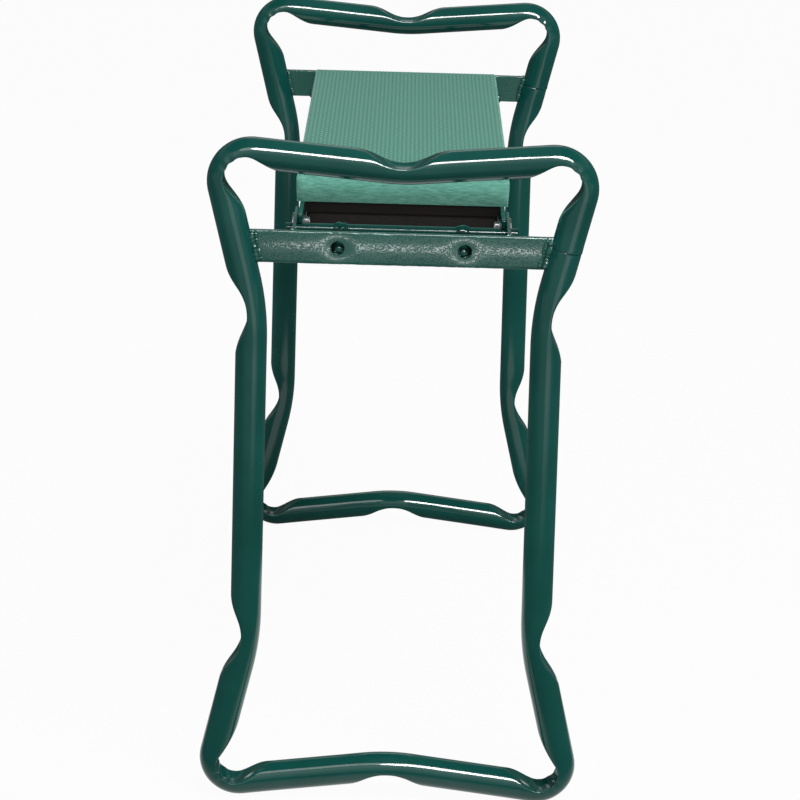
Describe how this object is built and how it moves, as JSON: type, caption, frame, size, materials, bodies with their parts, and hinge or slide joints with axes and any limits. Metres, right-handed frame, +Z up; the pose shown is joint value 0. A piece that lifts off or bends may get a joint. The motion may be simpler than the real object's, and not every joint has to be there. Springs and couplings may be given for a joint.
{
  "type": "garden kneeler seat",
  "caption": "Folding garden kneeler seat with a green foam pad between two looped tube end frames that swing in under it.",
  "frame": {"origin": "on the floor, under the middle of the seat", "axes": "+Y along the seat towards its rear end, +X to the right, +Z up"},
  "size_m": [0.273, 0.5996, 0.4899],
  "materials": {
    "green_foam": "matte",
    "black_foam": "matte",
    "black_board": "matte",
    "green_paint": "gloss",
    "zinc": "satin",
    "spring_wire": "satin"
  },
  "bodies": {
    "seat": {"seat_pad": "green_foam", "seat_board": "black_board", "kneeling_pad": "black_foam", "left_side_rail": "green_paint", "right_side_rail": "green_paint", "rail_screws": "zinc", "pivot_pins": "zinc", "pivot_clips": "zinc"},
    "front_frame": {"front_frame_tube": "green_paint", "front_tube_sleeve": "zinc", "front_crossbar": "green_paint", "front_left_hinge_plate": "green_paint", "front_right_hinge_plate": "green_paint", "front_lock_springs": "spring_wire"},
    "front_lock_bar": {"front_lock_rod": "green_paint", "front_left_lock_pin": "green_paint", "front_right_lock_pin": "green_paint"},
    "rear_frame": {"rear_frame_tube": "green_paint", "rear_tube_sleeve": "zinc", "rear_crossbar": "green_paint", "rear_left_hinge_plate": "green_paint", "rear_right_hinge_plate": "green_paint", "rear_lock_springs": "spring_wire"},
    "rear_lock_bar": {"rear_lock_rod": "green_paint", "rear_left_lock_pin": "green_paint", "rear_right_lock_pin": "green_paint"}
  },
  "joints": [
    {"name": "front_fold", "type": "hinge", "parent": "seat", "child": "front_frame", "pos_m": [0, -0.218, 0.4146], "axis": [1, 0, 0], "range_deg": [0, 96]},
    {"name": "front_lock_pull", "type": "slide", "parent": "front_frame", "child": "front_lock_bar", "axis": [0, -1, 0], "range_m": [0, 0.007], "stiffness_N_per_m": 1500, "springref_m": -0.005, "deforming": ["front_lock_springs"]},
    {"name": "rear_fold", "type": "hinge", "parent": "seat", "child": "rear_frame", "pos_m": [0, 0.218, 0.4146], "axis": [-1, 0, 0], "range_deg": [0, 87]},
    {"name": "rear_lock_pull", "type": "slide", "parent": "rear_frame", "child": "rear_lock_bar", "axis": [0, 1, 0], "range_m": [0, 0.007], "stiffness_N_per_m": 1500, "springref_m": -0.005, "deforming": ["rear_lock_springs"]}
  ]
}
